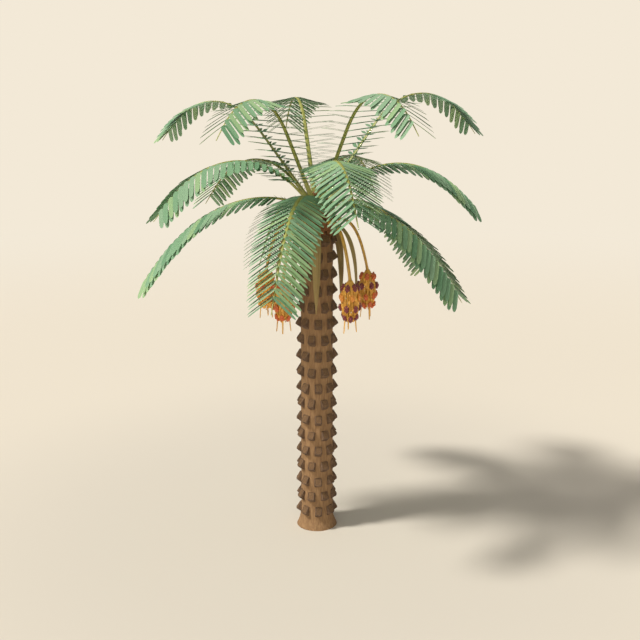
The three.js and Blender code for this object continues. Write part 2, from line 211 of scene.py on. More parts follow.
# %% Shapes laid along a path, or set out from a root
def unit(rows):
    """Directions of the same heading, each one metre long."""
    return rows / np.linalg.norm(rows, axis=-1, keepdims=True)


def lay_along(shape, path, left, width, depth):
    """A straight shape's corners, laid along a path: X is the share of it, Y aside and Z above.

    The path turns shares into places. Left is level, so above always lies over the path's own slope."""
    share = shape[:, 0]
    along = unit(path(share + NUDGE) - path(share - NUDGE))
    above = np.cross(along, left)
    aside = np.asarray(shape[:, 1] * width)[..., None]
    over = np.asarray(shape[:, 2] * depth)[..., None]
    return path(share) + left * aside + above * over


def turned(across, up, angle):
    """Two distances at right angles to each other, turned by an angle in radians."""
    return across * np.cos(angle) - up * np.sin(angle), across * np.sin(angle) + up * np.cos(angle)


def set_out(roots, axes, distances):
    """Every copy's corners, at distances from its root along its own three directions."""
    places = roots[:, None, :]
    for axis, distance in zip(axes, distances):
        places = places + axis[:, None, :] * distance[..., None]
    return places


# %% Put the models away and hand the pieces over
def put_away(*models):
    """Remove models that have been copied."""
    for model in models:
        bpy.data.objects.remove(model)


def hand_over(piece, slot, *nodes):
    """The piece rides on the palm's one body and stands for its solids. Its slot is not used."""
    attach(piece, "root")
    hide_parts(*nodes)
    low, high = np.min(corners_of(piece), axis=0), np.max(corners_of(piece), axis=0)
    triangles = sum(len(face.vertices) - 2 for face in piece.data.polygons)
    print(piece.name, triangles, "triangles, from", np.round(low, 2), "to", np.round(high, 2))


# %% [markdown]
# ## Colours and nodes
# Colours are written as they are seen on a screen, and Blender's shaders want them linear, so one
# function turns them. Another adds a node with its inputs, whether a plain value or a link.

# %% Colour and node helpers
def linear(hex_colour):
    """An sRGB colour such as 7d5f41 as linear red, green, blue and a full alpha."""
    levels = [int(hex_colour[i : i + 2], 16) / 255 for i in (0, 2, 4)]
    return (*[v / 12.92 if v <= 0.04045 else ((v + 0.055) / 1.055) ** 2.4 for v in levels], 1.0)


def add_node(tree, kind, inputs=None, **settings):
    """Add a node: settings are its properties, and an input is a value or the socket that feeds it."""
    node = tree.nodes.new(kind)
    for key, value in settings.items():
        setattr(node, key, value)
    for key, value in (inputs or {}).items():
        if isinstance(value, bpy.types.NodeSocket):
            tree.links.new(value, node.inputs[key])
        else:
            node.inputs[key].default_value = value
    return node


# %% Materials and their patterns
def start_finish(name, hex_colour, roughness):
    """A new material with a plain colour: its tree and its shader, to build on."""
    material = bpy.data.materials.new(name)
    material.use_nodes = True
    shader = material.node_tree.nodes["Principled BSDF"]
    shader.inputs["Base Color"].default_value = linear(hex_colour)
    shader.inputs["Roughness"].default_value = roughness
    return material, material.node_tree, shader


def grain(tree, size, detail=3.0, source="Object"):
    """A noise whose spots are this large along X, Y and Z, in the units of its coordinates."""
    where = add_node(tree, "ShaderNodeTexCoord").outputs[source]
    scaled = add_node(
        tree, "ShaderNodeMapping", {"Vector": where, "Scale": [1 / length for length in size]}
    )
    return add_node(
        tree, "ShaderNodeTexNoise", {"Vector": scaled.outputs["Vector"], "Scale": 1.0, "Detail": detail}
    )


def shade_by(tree, shader, value, stops):
    """Colour the surface by a value: each stop is a value and its sRGB colour."""
    ramp = add_node(tree, "ShaderNodeValToRGB", {"Fac": value})
    elements = ramp.color_ramp.elements
    while len(elements) < len(stops):
        elements.new(0.5)
    for element, (place, hex_colour) in zip(elements, stops):
        element.position = place
        element.color = linear(hex_colour)
    tree.links.new(ramp.outputs["Color"], shader.inputs["Base Color"])


def emboss(tree, shader, value, depth, strength=1.0):
    """Bump the surface by a value, this deep in metres."""
    bump = add_node(
        tree, "ShaderNodeBump", {"Height": value, "Distance": depth, "Strength": strength}
    )
    tree.links.new(bump.outputs["Normal"], shader.inputs["Normal"])


# %% [markdown]
# ## The trunk's finish
# Palm bark isn't bark at all: it is the weathered sheaths and stubs of old fronds over hard fibre.
# It is dull, grey-brown where sun and rain reach it, and streaked along the trunk by its fibres.
# The stubs are darker, and where they were cut, the ends of the fibres show as a field of specks.

# %% The trunk's own finish
def weathered_sheath():
    """Sun-bleached palm sheath: dull, streaked upwards, with darker seams where water stays."""
    material, tree, shader = start_finish("weathered_palm_sheath", "8f6d4b", 0.9)
    streaks = grain(tree, (22 * MM, 22 * MM, 190 * MM), 5.0)
    stops = [(0.28, "836447"), (0.47, "90704e"), (0.58, "987753"), (0.75, "a6835e")]
    shade_by(tree, shader, streaks.outputs["Fac"], stops)
    fibres = grain(tree, (5 * MM, 5 * MM, 90 * MM), 4.0)  # real fibres are 1 mm, too fine to show
    emboss(tree, shader, fibres.outputs["Fac"], 5 * MM, 0.7)
    shader.inputs["Specular IOR Level"].default_value = 0.25
    return material


# %% Stub finishes
def weathered_stub():
    """The hard rind of an old frond base: darker than the sheath, and smoother."""
    material, tree, shader = start_finish("weathered_leaf_base", "614a34", 0.8)
    patches = grain(tree, (40 * MM, 40 * MM, 60 * MM), 5.0)
    stops = [(0.3, "513d2c"), (0.5, "634b35"), (0.72, "7a5f45")]
    shade_by(tree, shader, patches.outputs["Fac"], stops)
    lines = grain(tree, (70 * MM, 6 * MM, 60 * MM), 3.0)
    emboss(tree, shader, lines.outputs["Fac"], 5 * MM)
    return material


def cut_fibre_ends():
    """Cut frond base: the ends of tough strands as pale specks in dark pith, 9 mm apart to show."""
    material, tree, shader = start_finish("cut_fibre_ends", "64492f", 0.95)
    where = add_node(tree, "ShaderNodeTexCoord").outputs["Object"]
    specks = add_node(
        tree, "ShaderNodeTexVoronoi", {"Vector": where, "Scale": 1 / (9 * MM), "Randomness": 0.9}
    )
    stops = [(0.05, "987650"), (0.35, "775a3b"), (0.8, "5c442e")]
    shade_by(tree, shader, specks.outputs["Distance"], stops)
    emboss(tree, shader, specks.outputs["Distance"], 3 * MM)
    return material


sheath_finish = weathered_sheath()
stub_finishes = [weathered_stub(), cut_fibre_ends()]
print("trunk finishes:", sheath_finish.name, [finish.name for finish in stub_finishes])

# %% [markdown]
# ## The trunk
# The trunk tapers only a little, flares at its foot, and swells softly behind each row of stubs.
# A circle is extruded upwards ring by ring, as a vase is drawn, because every ring then has its own
# size. A subdivision rounds it, and two displacements give the sheaths' lumps and the fibres' ridges.

# %% The trunk's measures, as the solid has them
TRUNK_HEIGHT = 4.930
CORE_RADIUS = 0.266
TOP_RADIUS = 0.256
FOOT_RADIUS = 0.334
FLARE_HEIGHT = 0.290
ROWS = 18
FIRST_ROW = 0.278
ROW_PITCH = 0.265
SIDES = 16
FIRST_AZIMUTH = 5.0
SWELLING = 5 * MM  # behind a row of stubs


def trunk_radius(height):
    """The trunk's radius without its stubs: a flare at the foot, then a slight taper."""
    flare = np.maximum(0, 1 - height / FLARE_HEIGHT) ** 2
    return CORE_RADIUS + (TOP_RADIUS - CORE_RADIUS) * height / TRUNK_HEIGHT + (
        FOOT_RADIUS - CORE_RADIUS
    ) * flare


def swollen_radius(height):
    """The same, a little thicker behind each row of stubs once the trunk stands clear of its foot."""
    wave = np.cos(2 * np.pi * (height - FIRST_ROW) / ROW_PITCH)
    return trunk_radius(height) + SWELLING * wave * min(1, height / FLARE_HEIGHT)


# %% Roughen a surface by a stretched pattern
def roughen(piece, pattern, size, height, low=-1e3, high=1e3):
    """Push the surface in and out by a noise with spots of this size, between two heights only."""
    bpy.ops.object.empty_add()
    stretch = bpy.context.object
    stretch.scale = size
    texture = bpy.data.textures.new(pattern, "CLOUDS")
    texture.noise_scale = 1.0
    texture.noise_depth = 3
    places = corners_of(piece)
    inside = np.nonzero((places[:, 2] > low) & (places[:, 2] < high))[0]
    group = piece.vertex_groups.new(name=pattern)
    group.add(inside.tolist(), 1.0, "REPLACE")
    relief = piece.modifiers.new(pattern, "DISPLACE")
    relief.texture = texture
    relief.texture_coords = "OBJECT"
    relief.texture_coords_object = stretch
    relief.vertex_group = pattern
    relief.strength = height
    only(piece)
    bpy.ops.object.modifier_apply(modifier=pattern)
    piece.vertex_groups.clear()
    bpy.data.objects.remove(stretch)


# %% Draw the trunk up from its foot
flare_heights = np.array([0, 35, 70, 105, 140, 180, 225]) * MM  # closer together where it flares
row_heights = np.arange(FIRST_ROW, TRUNK_HEIGHT, ROW_PITCH / 4)
ring_heights = np.concatenate([flare_heights, row_heights, [TRUNK_HEIGHT]])
rings = [(height, swollen_radius(height), swollen_radius(height)) for height in ring_heights]
bpy.ops.mesh.primitive_circle_add(vertices=40, radius=rings[0][1], fill_type="NGON")
trunk = open_new("trunk_sheath")
bpy.ops.mesh.select_all(action="SELECT")
grow_rings(rings, axis=2)
pick("EDGE", lambda middle: middle.z < MM or middle.z > TRUNK_HEIGHT - MM)
bpy.ops.transform.edge_crease(value=1.0)
close(trunk)
round_off(trunk)
roughen(trunk, "sheath lumps", (0.10, 0.10, 0.12), 12 * MM, 2 * MM, TRUNK_HEIGHT - 2 * MM)
roughen(trunk, "fibre ridges", (0.022, 0.022, 0.16), 8 * MM, 2 * MM, TRUNK_HEIGHT - 2 * MM)
bpy.ops.object.shade_smooth()
trunk.data.materials.append(sheath_finish)
hand_over(trunk, "trunk", "trunk")

# %% [markdown]
# ## The stubs
# Each cut frond leaves a wedge that juts out and up, thick in the middle, with its cut face turned to
# the sky. There are 144 on the solid, so one is modelled with a few dozen faces and copied, each copy
# a little larger, smaller or tilted. A cube is pulled to the wedge, bevelled, and its face inset.

# %% The stub's measures
STUB_ROOT = 0.222  # metres from the trunk's axis, well inside the trunk
STUB_SHOULDER = 0.276  # where the cut face begins
STUB_TIP = 0.347
STUB_WIDTH = 0.118
SHOULDER_HEIGHT = 0.112  # above the tip's lower edge, as the next two are
ROOT_TOP = 0.098
ROOT_FOOT = -0.084
BELLY = 0.17  # half the breadth of the stub's thick middle, as a share of its width
# %% Pull a cube to the stub's wedge
bpy.ops.mesh.primitive_cube_add(size=1, location=(0, 0, 0))
stub = open_new("stub")
for belly_edge in (-BELLY, BELLY):
    bpy.ops.mesh.select_all(action="SELECT")
    bpy.ops.mesh.bisect(plane_co=(0, belly_edge, 0), plane_no=(0, 1, 0))
bpy.ops.object.mode_set(mode="OBJECT")
corners = corners_of(stub)
outer, above = corners[:, 0] > 0, corners[:, 2] > 0
edge = np.where(abs(corners[:, 1]) < 2 * BELLY, 0.0, 1.0)  # thinner there than in the middle
corners[:, 1] *= STUB_WIDTH
corners[:, 0] = np.select([outer & above, outer], [STUB_SHOULDER, STUB_TIP - 9 * MM * edge], STUB_ROOT)
corners[:, 2] = np.select(
    [outer & above, above, outer], [SHOULDER_HEIGHT, ROOT_TOP, 10 * MM * edge], ROOT_FOOT
)
move_corners(stub, corners)
# %% Round its edges and sink its cut face
only(stub)
bpy.ops.object.mode_set(mode="EDIT")
pick("EDGE", lambda middle: middle.x > 0.30 or (middle.x > 0.24 and abs(middle.y) > 0.05))
bpy.ops.mesh.bevel(offset=13 * MM, segments=2, affect="EDGES")
chosen = pick("FACE", lambda middle: middle.x > 0.305 and 0.02 < middle.z < 0.095 and abs(middle.y) < 0.045)
bpy.ops.mesh.inset(thickness=6 * MM, depth=-4 * MM)
for finish in stub_finishes:
    stub.data.materials.append(finish)
stub.active_material_index = 1
bpy.ops.object.material_slot_assign()
close(stub)
print("a stub has", len(stub.data.polygons), "faces,", chosen, "of them cut")

# %% Set the stubs round the trunk, on every second side of each row
row, side = np.meshgrid(np.arange(ROWS), np.arange(SIDES), indexing="ij")
kept = side % 2 == row % 2
row, side = row[kept], side[kept]
count = len(row)
azimuth = FIRST_AZIMUTH + side * 360 / SIDES + dice.normal(0, 0.7, count)
tip_height = FIRST_ROW + row * ROW_PITCH + dice.normal(0, 4 * MM, count)
shape = corners_of(stub)
reach = STUB_ROOT + (shape[:, 0] - STUB_ROOT) * dice.uniform(0.93, 1.03, count)[:, None]
aside = shape[:, 1] * dice.uniform(0.9, 1.08, count)[:, None]
height = shape[:, 2] * dice.uniform(0.92, 1.06, count)[:, None]
roll = np.radians(dice.normal(0, 3.0, count))[:, None]
aside, height = turned(aside, height, roll)
out = around(azimuth, 1, 0)[:, None, :]
left = left_of(azimuth)[:, None, :]
places = out * reach[..., None] + left * aside[..., None]
places[..., 2] = tip_height[:, None] + height
stubs = join_copies("cut_frond_stubs", stub, places, stub_finishes)
smooth(stubs, 32)
put_away(stub)
hand_over(stubs, "trunk", "trunk")

# %% [markdown]
# ## The crown heart
# Where the fronds leave the trunk, their sheaths wrap round each other in a bulging, tapering heart.
# Its skin is a mat of coarse red-brown fibre, woven by nature at a slant, with loose ends sticking out.
# The heart is drawn up in rings like the trunk. The wrapping sheaths are one pointed flap, copied
# round it in a spiral, and the loose fibres are one thin spike, copied by the hundred.

# %% Fibre finish
def palm_fibre():
    """Dry palm fibre: a dull, red-brown mat whose threads run upwards, paler here and there."""
    material, tree, shader = start_finish("dry_palm_fibre", "74492f", 0.95)
    threads = grain(tree, (10 * MM, 10 * MM, 70 * MM), 4.0)
    stops = [(0.3, "5c3d27"), (0.5, "7f5738"), (0.72, "a1774f")]
    shade_by(tree, shader, threads.outputs["Fac"], stops)
    emboss(tree, shader, threads.outputs["Fac"], 8 * MM)
    shader.inputs["Specular IOR Level"].default_value = 0.2
    return material


fibre_finish = palm_fibre()

# %% Draw the heart up in rings
HEART_SEAT = TRUNK_HEIGHT
HEART_OUTLINE = [(0.262, 0.0), (0.282, 0.15), (0.264, 0.35), (0.200, 0.49), (0.150, 0.552), (0.090, 0.60)]
HEART_TOP = 0.63
HEART_TIP_RADIUS = 0.03
outline_radii, outline_heights = np.array(HEART_OUTLINE).T


def heart_radius(height):
    """The heart's radius at a height above the ground."""
    return np.interp(height - HEART_SEAT, outline_heights, outline_radii)


heart_heights = np.append(np.arange(0.0, 0.6, 0.05), [0.6, HEART_TOP])
rings = [(HEART_SEAT + h, *[float(np.interp(h, outline_heights, outline_radii))] * 2) for h in heart_heights]
rings[-1] = (HEART_SEAT + HEART_TOP, HEART_TIP_RADIUS, HEART_TIP_RADIUS)
bpy.ops.mesh.primitive_circle_add(
    vertices=32, radius=rings[0][1], fill_type="NGON", location=(0, 0, HEART_SEAT)
)
heart = open_new("crown_heart_fibre")
bpy.ops.mesh.select_all(action="SELECT")
grow_rings(rings, axis=2)
close(heart)
round_off(heart)
roughen(heart, "sheath folds", (0.09, 0.09, 0.16), 26 * MM, HEART_SEAT + 5 * MM)
roughen(heart, "fibre mat", (0.018, 0.018, 0.08), 10 * MM, HEART_SEAT + 5 * MM)
bpy.ops.object.shade_smooth()
heart.data.materials.append(fibre_finish)
hand_over(heart, "heart", "crown_heart")

# %% Wrap it in pointed sheaths
FLAP_COUNT = 34
FLAP_LEVELS = (4.80, 5.34)  # where the lowest and the highest sheath start
TURN_STEP = 137.5  # degrees: each sheath grows this far round from the one before
bpy.ops.mesh.primitive_grid_add(x_subdivisions=6, y_subdivisions=7, size=1)
flap = open_new("flap")
bpy.ops.mesh.select_all(action="SELECT")
bpy.ops.mesh.extrude_region_move(TRANSFORM_OT_translate={"value": (0, 0, 1)})
close(flap)
shape = corners_of(flap)
up = shape[:, 1] + 0.5
pointed = np.sqrt(np.clip(1 - up**2.2, 0, 1)) * 0.94 + 0.06
width = dice.uniform(0.17, 0.24, FLAP_COUNT)[:, None]
length = dice.uniform(0.16, 0.25, FLAP_COUNT)[:, None]
base = np.linspace(*FLAP_LEVELS, FLAP_COUNT)[:, None]
level = base + up * length
skin = np.where(level < HEART_SEAT, trunk_radius(level), heart_radius(level))
# It stands off the skin by 10 mm at its base and 36 mm at its tip, and its edges lie 10 mm closer.
stand_off = 10 * MM + 26 * MM * up**2 - 10 * MM * (2 * shape[:, 0]) ** 2 + 7 * MM * shape[:, 2]
radius = skin + stand_off + dice.uniform(0, 10 * MM, FLAP_COUNT)[:, None] * up
azimuth = np.arange(FLAP_COUNT)[:, None] * TURN_STEP + np.degrees(shape[:, 0] * pointed * width / radius)
places = around(azimuth, radius, level)
flaps = join_copies("sheath_wraps", flap, places, [fibre_finish])
smooth(flaps, 40)
put_away(flap)
hand_over(flaps, "heart", "crown_heart")

# %% Loose fibres
FIBRE_COUNT = 900
FIBRE_LEVELS = (4.74, 5.46)
spike = straight_rod("spike", 3, [(0, 2, 2), (0.35, 1.7, 1.7), (0.7, 1.2, 1.2), (1.0, 0.24, 0.24)])
shape = corners_of(spike)
start = dice.uniform(0, 360, FIBRE_COUNT)[:, None]
level = dice.uniform(*FIBRE_LEVELS, FIBRE_COUNT)[:, None]
slant = np.radians(dice.choice([-1, 1], FIBRE_COUNT) * dice.normal(52, 14, FIBRE_COUNT))[:, None]
length = dice.uniform(0.10, 0.26, FIBRE_COUNT)[:, None]
thick = dice.uniform(1.3 * MM, 2.6 * MM, FIBRE_COUNT)[:, None]
lift = dice.uniform(4 * MM, 45 * MM, FIBRE_COUNT)[:, None]
run = shape[:, 0] * length
height = level + run * np.sin(slant) + shape[:, 1] * thick
radius = heart_radius(np.maximum(height, HEART_SEAT)) + 6 * MM + lift * shape[:, 0] ** 2 + shape[:, 2] * thick
azimuth = start + np.degrees(run * np.cos(slant) / radius)
fibres = join_copies("loose_fibres", spike, around(azimuth, radius, height), [fibre_finish])
put_away(spike)
hand_over(fibres, "heart", "crown_heart")

# %% [markdown]
# ## The fruit stalks
# Each bunch of dates hangs on one stalk that pushes out of the heart, bows over and drops plumb under
# its load. It is thicker than a wrist at its root, a little flattened, hard, smooth and bright
# orange-gold. One straight stalk is modelled along X, with its length as 1, and laid along each curve.

# %% Stalk finish
def ripe_stalk():
    """Living fruit stalk: a hard, waxy, orange-gold rind, faintly streaked along its length."""
    material, tree, shader = start_finish("waxy_fruit_stalk", "cc9a3e", 0.4)
    streaks = grain(tree, (0.06, 0.25, 1.0), 3.0, "UV")  # 73 mm along the stalk and 15 mm across
    stops = [(0.3, "b5822f"), (0.5, "cc9c40"), (0.72, "dcb45c")]
    shade_by(tree, shader, streaks.outputs["Fac"], stops)
    emboss(tree, shader, streaks.outputs["Fac"], 2 * MM)
    shader.inputs["Coat Weight"].default_value = 0.15
    return material


stalk_finish = ripe_stalk()

# %% Where the stalks and bunches hang
BUNCH_DISTANCE = 0.86
BUNCH_TOP = 4.26
STALK_ROUTE = [(0.22, 5.06), (0.58, 5.27), (0.75, 4.80), (BUNCH_DISTANCE, BUNCH_TOP)]
# Each bunch is its azimuth and the ripeness of its four tiers from the top: g is golden, a amber,
# o orange and m maroon, as dates turn.
BUNCHES = [(306, "mamm"), (18, "omoo"), (90, "aomo"), (162, "aoag"), (234, "omoo")]


def hanging_path(azimuth, route):
    """The cubic curve through four control points, as a function from shares to places."""
    points = np.array(route)

    def path(share):
        share = np.asarray(share)[..., None]
        rest = 1 - share
        place = rest**3 * points[0] + 3 * rest**2 * share * points[1]
        place = place + 3 * rest * share**2 * points[2] + share**3 * points[3]
        return around(azimuth, place[..., 0], place[..., 1])

    return path


# %% Model one straight stalk and lay five
STALK_WIDTH = 0.060
STALK_TAPER = 0.010  # how much narrower it is at its end
straight = straight_rod("straight_stalk", 10, even_rings(40))
shape = corners_of(straight)
flare = 1 + 0.9 * np.clip(1 - shape[:, 0] / 0.14, 0, 1) ** 2
collar = 0.22 * np.exp(-(((shape[:, 0] - 0.985) / 0.015) ** 2))  # it swells where the strands leave it
width = (STALK_WIDTH - STALK_TAPER * shape[:, 0]) * (flare + collar)
places = np.stack(
    [
        lay_along(shape, hanging_path(azimuth, STALK_ROUTE), left_of(azimuth), width, width * 0.84)
        for azimuth, _ in BUNCHES
    ]
)
stalks = join_copies("fruit_stalks", straight, places, [stalk_finish])
smooth(stalks, 50)
put_away(straight)
hand_over(stalks, "stalk", *[f"fruit_stalk_{i + 1}" for i in range(len(BUNCHES))])

# %% [markdown]
# ## The bunches of dates
# From the end of each stalk fans a mane of golden strands, and the dates sit on them in tiers. They
# ripen at different times, so a bunch is golden, amber, orange and maroon at once. The strands give
# the bunch its golden body: a straight one is modelled and laid, in two layers, down the bunch's
# outline, and three thick ones trail below. A date is a rounded oval, drawn in at its tip, of a few
# dozen faces, copied in tight clusters.

# %% Fruit finishes
FRUIT_COLOURS = {"g": "f0b54c", "a": "e2923a", "o": "d0642f", "m": "7c3035"}
FRUIT_NAMES = {"g": "golden", "a": "amber", "o": "orange", "m": "maroon"}


def date_skin(letter):
    """Date skin at one ripeness: thin, waxy and a little wrinkled, one plain colour each."""
    material, tree, shader = start_finish(f"{FRUIT_NAMES[letter]}_date_skin", FRUIT_COLOURS[letter], 0.36)
    wrinkles = grain(tree, (9 * MM, 9 * MM, 26 * MM), 3.0)
    emboss(tree, shader, wrinkles.outputs["Fac"], 2.5 * MM, 0.7)
    shader.inputs["Coat Weight"].default_value = 0.2
    return material


def strand_rind():
    """Date strand: a thin, hard, golden stem with a faint gloss."""
    material, tree, shader = start_finish("golden_date_strand", "ecb24c", 0.45)
    streaks = grain(tree, (0.04, 0.3, 1.0), 2.0, "UV")  # 25 mm along the strand and 4 mm across
    stops = [(0.3, "dc9c38"), (0.55, "edb44e"), (0.75, "f4ca74")]
    shade_by(tree, shader, streaks.outputs["Fac"], stops)
    return material


date_finishes = {letter: date_skin(letter) for letter in FRUIT_COLOURS}
strand_finish = strand_rind()

# %% Model one straight strand
strand = straight_rod("strand", 5, even_rings(14))
print("a strand has", len(strand.data.polygons), "faces")

# %% The bunch's outline
BUNCH_OUTLINE = [(0.024, 0.03), (0.030, 0.0), (0.108, -0.095), (0.138, -0.21), (0.140, -0.33)]
BUNCH_OUTLINE += [(0.126, -0.47), (0.072, -0.585), (0.008, -0.655)]
bunch_radii, bunch_drops = np.array(BUNCH_OUTLINE[::-1]).T


def bunch_radius(drop):
    """The bunch's radius at a height below its top."""
    return np.interp(drop, bunch_drops, bunch_radii)


# %% One layer of strands
STRAND_WIDTH = 15 * MM


def strand_layer(azimuth, count, inset, longest):
    """The corners of strands that fan from a stalk's end down the bunch, inset from its outline."""
    start = (np.arange(count) + dice.uniform(-0.3, 0.3, count))[:, None] * 360 / count
    twist = dice.normal(0, 22, count)[:, None]
    length = dice.uniform(0.80, 1.0, count)[:, None] * longest
    sway = dice.uniform(0.90, 1.03, count)[:, None]
    middle = around(azimuth, BUNCH_DISTANCE, BUNCH_TOP)

    def path(share):
        drop = 0.02 - share * length
        turn = azimuth + start + twist * share
        return middle + around(turn, bunch_radius(drop) * inset * sway, drop)

    shape = corners_of(strand)
    left = left_of(azimuth + start)
    thick = STRAND_WIDTH * (1 - 0.45 * shape[:, 0]) * dice.uniform(0.8, 1.15, count)[:, None]
    return lay_along(shape, path, left, thick, thick)


# %% Three trailing ends
TRAILING = 3
TRAILING_WIDTH = 29 * MM


def trailing_strands(azimuth):
    """The corners of the strands without fruit that trail below the bunch."""
    start = (30 + np.arange(TRAILING) * 120 + dice.normal(0, 8, TRAILING))[:, None]
    length = dice.uniform(0.92, 1.0, TRAILING)[:, None]
    middle = around(azimuth, BUNCH_DISTANCE, BUNCH_TOP)

    def path(share):
        drop = -0.42 - 0.37 * share * length
        return middle + around(azimuth + start, 0.092 + 0.022 * share * abs(share), drop)

    shape = corners_of(strand)
    thick = TRAILING_WIDTH * (1 - 0.35 * shape[:, 0] ** 2)
    return lay_along(shape, path, left_of(azimuth + start), thick, thick * 0.7)


# %% Hang two layers of strands and the trailing ends on each stalk
OUTER_STRANDS = 64
INNER_STRANDS = 40
places = np.concatenate(
    [
        part
        for azimuth, _ in BUNCHES
        for part in (
            strand_layer(azimuth, OUTER_STRANDS, 0.97, 0.66),
            strand_layer(azimuth, INNER_STRANDS, 0.72, 0.62),
            trailing_strands(azimuth),
        )
    ]
)
bunch_nodes = [f"date_bunch_{i + 1}" for i in range(len(BUNCHES))]
strands = join_copies("date_strands", strand, places, [strand_finish])
smooth(strands, 80)
put_away(strand)
hand_over(strands, "dates", *bunch_nodes)

# %% Model one date and its cap
bpy.ops.mesh.primitive_uv_sphere_add(segments=8, ring_count=6, radius=0.5)
date = open_new("date")
pick("VERT", lambda middle: middle.z < -0.3)
bpy.ops.transform.resize(value=(0.86, 0.86, 1.0), center_override=(0, 0, -0.5))
pick("VERT", lambda middle: middle.z > 0.48)
bpy.ops.transform.translate(value=(0, 0, -0.05))  # a dimple where its stem enters
close(date)
bpy.ops.mesh.primitive_cone_add(vertices=6, radius1=0.5, radius2=0.22, depth=1.0, location=(0, 0, 0.5))
cap = open_new("date_cap")
pick("FACE", lambda middle: middle.z > 0.9)
bpy.ops.mesh.extrude_region_move(TRANSFORM_OT_translate={"value": (0, 0, 0.9)})
bpy.ops.transform.resize(value=(0.5, 0.5, 1.0), center_override=(0, 0, 1.9))
close(cap)
print("a date has", len(date.data.polygons), "faces and its cap", len(cap.data.polygons))

# %% Where the dates sit: tiers of tight clusters, with golden ones behind them
TIERS = 4
FIRST_TIER = -0.085
TIER_PITCH = 0.155
PER_TIER = 6
# One cluster: how far each of its dates is aside, above and proud of the cluster's middle.
CLUSTER = [(0, 36, 0), (-17, 19, 3), (17, 17, 3), (0, 1, 15), (-17, -17, 3), (17, -19, 3), (0, -36, 0)]
CLUSTER = np.array(CLUSTER) * MM
HIGHEST_DATE = -0.07  # below the bunch's top
LOWEST_DATE = -0.60
FILLERS = 120


def date_frames(azimuth, ripeness):
    """For each date of a bunch: its turn round the bunch, radius, height, size and ripeness."""
    tier = np.repeat(np.arange(TIERS), PER_TIER)
    place = np.tile(np.arange(PER_TIER), TIERS)
    turn = azimuth + (place + (tier % 2) / 2 + dice.normal(0, 0.05, len(tier))) * 360 / PER_TIER
    drop = FIRST_TIER - tier * TIER_PITCH + dice.normal(0, 8 * MM, len(tier))
    drop = np.repeat(drop, len(CLUSTER)) + np.tile(CLUSTER[:, 1], len(tier))
    proud = 14 * MM + np.tile(CLUSTER[:, 2], len(tier))
    radius = bunch_radius(np.clip(drop, LOWEST_DATE, HIGHEST_DATE)) + proud
    turn = np.repeat(turn, len(CLUSTER)) + np.degrees(np.tile(CLUSTER[:, 0], len(tier)) / radius)
    size = dice.uniform(0.92, 1.08, len(turn))
    letter = np.repeat([ripeness[i] for i in tier], len(CLUSTER))
    filler_drop = dice.uniform(LOWEST_DATE, HIGHEST_DATE - 10 * MM, FILLERS)
    filler_turn = dice.uniform(0, 360, FILLERS)
    filler_radius = bunch_radius(filler_drop) * 0.93 - 6 * MM
    return (
        np.concatenate([turn, filler_turn]),
        np.concatenate([radius, filler_radius]),
        np.concatenate([drop, filler_drop]),
        np.concatenate([size, dice.uniform(0.85, 1.05, FILLERS)]),
        np.concatenate([letter, np.full(FILLERS, "g")]),
    )


# %% Lay a shape at each date
def hang_fruit(shape, azimuth, frames, width, length):
    """A shape's corners at each date, its axis leaning out a little at the foot, as hanging fruit does."""
    turn, radius, drop, size, _ = frames
    out, left = around(turn, 1, 0)[:, None, :], left_of(turn)[:, None, :]
    lean = np.radians(-10 + 25 * (drop + 0.35) / 0.6 + dice.normal(0, 6, len(turn)))[:, None]
    swing = np.radians(dice.normal(0, 8, len(turn)))[:, None]
    x, y, z = [values[None, :] * size[:, None] for values in shape.T * [[width], [width], [length]]]
    y, z = turned(y, z, swing)
    x, z = turned(x, z, lean)
    middle = around(azimuth, BUNCH_DISTANCE, BUNCH_TOP) + around(turn, radius, drop)
    places = middle[:, None, :] + out * x[..., None] + left * y[..., None]
    places[..., 2] += z
    return places


# %% Hang the fruit
DATE_WIDTH = 42 * MM
DATE_LENGTH = 54 * MM
letters = list(FRUIT_COLOURS)
date_shape = corners_of(date)
cap_shape = corners_of(cap) * [0.40, 0.40, 0.055] + [0, 0, 0.44]  # in shares of a date's size
both = np.concatenate([date_shape, cap_shape])
fruit_places, cap_places, dealt = [], [], []
for azimuth, ripeness in BUNCHES:
    frames = date_frames(azimuth, ripeness)
    laid = hang_fruit(both, azimuth, frames, DATE_WIDTH, DATE_LENGTH)
    fruit_places.append(laid[:, : len(date_shape)])
    cap_places.append(laid[:, len(date_shape) :])
    dealt.append([letters.index(letter) for letter in frames[-1]])
dates = join_copies(
    "dates", date, np.concatenate(fruit_places), list(date_finishes.values()), np.concatenate(dealt)
)
only(dates)
bpy.ops.object.shade_smooth()
hand_over(dates, "dates", *bunch_nodes)
caps = join_copies("date_caps", cap, np.concatenate(cap_places), [strand_finish])
put_away(date, cap)
hand_over(caps, "dates", *bunch_nodes)

# %% [markdown]
# ## The dry sheaths
# Every flower stalk was born in a long, boat-shaped woody sheath that split, dried and stayed. Five
# hang round the heart, broad near their root and drawn to a point, olive-brown, with a keel down
# their back. A flat grid is modelled once, bent hollow and keeled along the solid's curve, and given
# its wall with Solidify.

# %% Dry sheath finish
def dry_husk():
    """Dry flower sheath: woody, olive-brown, finely ribbed along its length, with some ribs paler."""
    material, tree, shader = start_finish("dry_flower_sheath", "8f7a4a", 0.75)
    ribs_along = grain(tree, (0.5, 0.035, 1.0), 4.0, "UV")  # 0.8 m long and 5 mm apart
    stops = [(0.28, "7c6840"), (0.5, "9b8451"), (0.72, "b39d66")]
    shade_by(tree, shader, ribs_along.outputs["Fac"], stops)
    emboss(tree, shader, ribs_along.outputs["Fac"], 3 * MM)
    return material


husk_finish = dry_husk()

